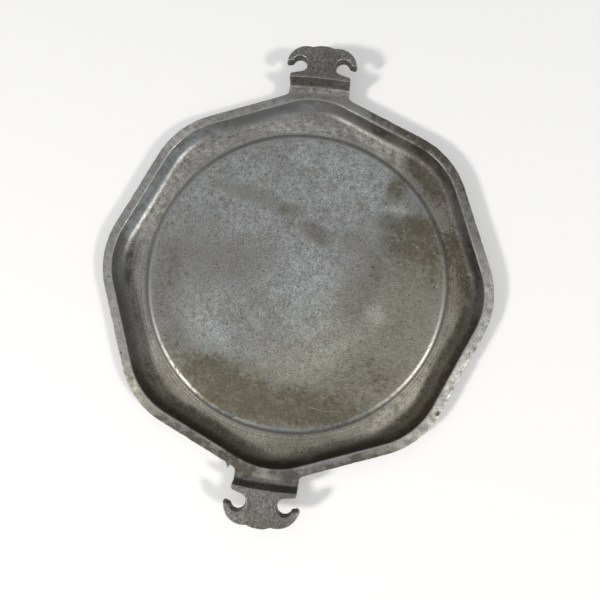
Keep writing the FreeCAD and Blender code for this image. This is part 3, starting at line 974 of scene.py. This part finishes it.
def gutter_look(pattern):
    """Gutter with baked-on brown film in patches, which along the front fillets is also a painted shadow of
    the wall, and pale patches, partly a painted highlight on the upper left fillet.
    """
    cloud = pattern.noise(22 * MM, detail=5.0)
    patch = pattern.noise(5 * MM, detail=5.0, roughness=0.6)
    grain = pattern.noise(1.0 * MM, detail=2.0, roughness=0.7)
    pits = pattern.pits(spacing=3.6 * MM, radius=0.8 * MM, share=0.5)
    clustered = pattern.math("MULTIPLY", pattern.ramp(patch, *CLUSTER_SPAN), pattern.zone("specked"))
    specks = pattern.pits(spacing=2.6 * MM, radius=0.75 * MM, share=0.7)
    specks = pattern.math("MULTIPLY", specks, clustered)
    turning = pattern.turning(1.4 * MM)
    colour = pattern.mix(pattern.ramp(cloud, *NARROW_SPAN), *GUTTER_METAL)
    # Pale metal, partly a painted highlight on the upper left fillet
    colour = pattern.mix(pattern.patch("pale_and_painted_light", patch, cloud), colour, GUTTER_PALE_AND_HIGHLIGHT_COLOUR)
    # Film, which along the front fillets is also a painted shadow of the wall
    film_and_shade = pattern.patch("film_and_shade", patch, cloud)
    colour = pattern.mix(film_and_shade, colour, GUTTER_FILM_AND_SHADE_COLOUR)
    colour = pattern.toned(colour, (patch, 0.8, 1.2), (grain, 0.62, 1.42),
                           (turning, 0.86, 1.14), (pits, 1.0, 0.55, *FULL_SPAN))
    colour = pattern.mix(pattern.math("MULTIPLY", specks, SPECK_COVER), colour, GUTTER_SPECK_COLOUR)
    roughness = pattern.ramp(patch, *NOISE_SPAN, start=0.42, end=0.32)
    roughness = pattern.lerp(film_and_shade, roughness, GUTTER_FILM_ROUGHNESS)
    height = added(pattern, (grain, 0.03 * MM), (patch, 0.05 * MM), (pits, -0.1 * MM), (turning, 0.012 * MM))
    return colour, roughness, TARNISHED, height


def disc_look(pattern):
    """Cooking surface: worn grey metal under a patchy brown film, with pits and fine scratches, pale patches
    that are partly painted light, and a painted dark reflection along the front of its step.
    """
    cloud = pattern.noise(22 * MM, detail=6.0, roughness=0.6)
    tint = pattern.noise(11 * MM, detail=5.0, roughness=0.6)
    patch = pattern.noise(4 * MM, detail=5.0, roughness=0.7)
    grain = pattern.noise(1.0 * MM, detail=2.0, roughness=0.75)
    pits = pattern.pits(spacing=3.6 * MM, radius=0.8 * MM, share=0.55)
    specks = pattern.pits(spacing=6.5 * MM, radius=1.0 * MM, share=0.5)
    specks = pattern.math("MULTIPLY", specks, pattern.zone("specked"))
    scratches = pattern.scratches(SCRATCHES)
    lines = added(pattern, (pattern.hairlines(9 * MM, turn_deg=41), 1.0),
                  (pattern.hairlines(7 * MM, turn_deg=-57), 0.8))
    lines = pattern.math("MULTIPLY", lines, pattern.zone("scuffed"))
    colour = pattern.mix(pattern.ramp(tint, *NARROW_SPAN), *DISC_METAL)
    colour = pattern.toned(colour, (cloud, 0.94, 1.06, *CLOUD_SPAN))
    # Pale metal, partly painted light on the upper half and middle
    colour = pattern.mix(pattern.patch("pale_and_painted_light", patch, tint, mottle=2.8), colour, DISC_PALE_AND_LIGHT_COLOUR)
    colour = pattern.mix(pattern.patch("film_and_shade", patch, cloud, mottle=6.4), colour, DISC_FILM_COLOUR)
    colour = pattern.toned(colour, (patch, 0.84, 1.16), (grain, 0.68, 1.34), (pits, 1.0, 0.52, *FULL_SPAN))
    bright = pattern.math("MAXIMUM", lines, pattern.math("MAXIMUM", scratches, specks))
    colour = pattern.mix(pattern.math("MULTIPLY", bright, SCRATCH_COVER), colour, SCRATCH_COLOUR)
    # Painted dark reflection along the front of the disc's step
    colour = pattern.mix(pattern.zone("painted_dark_reflection"), colour, PAINTED_DARK_REFLECTION_COLOUR)
    roughness = pattern.ramp(cloud, *NOISE_SPAN, start=0.52, end=0.44)
    height = added(pattern, (grain, 0.035 * MM), (patch, 0.03 * MM), (pits, -0.08 * MM))
    return colour, roughness, METALLIC, height


def base_look(pattern):
    """Faced underside with turning marks and heat stain."""
    cloud = pattern.noise(30 * MM, detail=5.0)
    turning = pattern.turning(0.9 * MM)
    colour = pattern.mix(pattern.ramp(cloud, *CLOUD_SPAN), *BASE_METAL)
    roughness = pattern.ramp(cloud, *NOISE_SPAN, start=0.5, end=0.38)
    height = pattern.math("MULTIPLY", turning, 0.015 * MM)
    return colour, roughness, METALLIC, height


def worn_edge(pattern, look):
    """The look, browner where stained, rubbed bright on its edges, bare and uneven in the fillet."""
    colour, roughness, metallic, height = look
    warmed = pattern.vector("MULTIPLY", {0: colour, 1: WARM_FACTORS})[0]
    colour = pattern.mix(pattern.zone("warm"), colour, warmed)
    cloud = pattern.noise(5 * MM, detail=4.0)
    uneven = pattern.ramp(cloud, *RUB_SPAN, start=0.4, end=1.0)
    clean = pattern.math("SUBTRACT", 1.0, pattern.patch("film_and_shade", cloud, cloud), clamp=True)
    rub = pattern.math("MULTIPLY", pattern.math("MULTIPLY", pattern.zone("edge"), uneven), clean)
    colour = pattern.mix(pattern.math("MULTIPLY", rub, RUB_COVER), colour, RUBBED_COLOUR)
    bare = pattern.math("MAXIMUM", rub, pattern.math("MULTIPLY", pattern.zone("fillet"), clean))
    scraped = pattern.math("MULTIPLY", cloud, pattern.zone("fillet"))
    height = pattern.math("MULTIPLY_ADD", scraped, FILLET_BUMP, height)
    roughness = pattern.lerp(bare, roughness, BARE_ROUGHNESS)
    return colour, roughness, pattern.lerp(bare, metallic, BARE_METALLIC), height


def pan_material():
    pattern = Pattern("worn_pan_metal")
    look = sand_cast_look(pattern)
    for zone, part in (("base", base_look), ("ground", ground_look), ("wall", wall_look),
                       ("gutter", gutter_look), ("disc", disc_look)):
        look = blend_looks(pattern, pattern.zone(zone), look, part(pattern))
    return pattern.finish(worn_edge(pattern, look))


def handle_material():
    pattern = Pattern("sand_cast_skin")
    look = blend_looks(pattern, pattern.zone("ground"), sand_cast_look(pattern), ground_look(pattern))
    return pattern.finish(worn_edge(pattern, look))


def dressed(piece, material, node):
    piece.data.materials.clear()
    piece.data.materials.append(material)
    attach(piece, "root")
    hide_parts(node)


def floor():
    """Pale floor that the griddle stands on."""
    half = FLOOR_HALF_WIDTH
    corners = [(-half, -half, 0), (half, -half, 0), (half, half, 0), (-half, half, 0)]
    mesh = bpy.data.meshes.new("floor")
    mesh.from_pydata(corners, [], [(0, 1, 2, 3)])
    plane = placed("floor", mesh)
    material = bpy.data.materials.new("floor_paint")
    material.use_nodes = True
    shader = material.node_tree.nodes["Principled BSDF"]
    shader.inputs["Base Color"].default_value = FLOOR_COLOUR
    shader.inputs["Roughness"].default_value = FLOOR_ROUGHNESS
    shader.inputs["Specular IOR Level"].default_value = 0.0
    mesh.materials.append(material)


def soft_light(name, direction, power, colour):
    """Round softbox that faces the middle of the griddle from a direction."""
    lamp = bpy.data.lights.new(name, "AREA")
    lamp.shape = "DISK"
    lamp.size = LAMP_SIZE
    lamp.energy = power
    lamp.color = colour
    holder = placed(name, lamp)
    away = Vector(direction).normalized()
    holder.location = away * LAMP_DISTANCE
    holder.rotation_mode = "QUATERNION"
    holder.rotation_quaternion = away.to_track_quat("Z", "Y")


def surroundings():
    """Room that is dim along the horizon and brighter overhead."""
    world = bpy.data.worlds.new("studio")
    bpy.context.scene.world = world
    world.use_nodes = True
    tree = world.node_tree
    tree.nodes.clear()
    direction = new_node(tree, "ShaderNodeTexCoord").outputs["Generated"]
    height = new_node(tree, "ShaderNodeSeparateXYZ", {0: direction}).outputs["Z"]
    shades = new_node(tree, "ShaderNodeValToRGB", {"Fac": height})
    ramp = shades.color_ramp
    ramp.elements[0].position = 0.0
    ramp.elements[0].color = ROOM_HORIZON
    ramp.elements[1].position = 1.0
    ramp.elements[1].color = ROOM_ZENITH
    for position, shade in ROOM_BETWEEN:
        ramp.elements.new(position).color = shade
    inputs = {"Color": shades.outputs["Color"], "Strength": ROOM_STRENGTH}
    background = new_node(tree, "ShaderNodeBackground", inputs).outputs["Background"]
    new_node(tree, "ShaderNodeOutputWorld", {"Surface": background})


def camera():
    data = bpy.data.cameras.new("camera")
    data.lens = CAMERA_LENS_MM
    data.sensor_width = CAMERA_SENSOR_MM
    data.clip_start, data.clip_end = CAMERA_CLIP
    holder = placed("camera", data)
    back = (CAMERA_PLACE - CAMERA_TARGET).normalized()
    right = CAMERA_UP.cross(back).normalized()
    up = back.cross(right)
    turn = Matrix((right, up, back)).transposed()
    holder.matrix_world = Matrix.Translation(CAMERA_PLACE) @ turn.to_4x4()
    bpy.context.scene.camera = holder


pan = pan_piece()
dressed(pan, pan_material(), "griddle_pan")
handle_metal = handle_material()
for end in ("back", "front"):
    handle = handle_piece(end + "_handle_casting", end + "_handle")
    dressed(handle, handle_metal, end + "_handle")
floor()
surroundings()
soft_light("key_from_front_left", (-0.593, -0.447, 0.669), 25, (1.0, 0.97, 0.93))
soft_light("key_from_front_right", (0.64, -0.27, 0.70), 17, (1.0, 0.96, 0.90))
camera()
bpy.context.scene.view_settings.view_transform = "Standard"
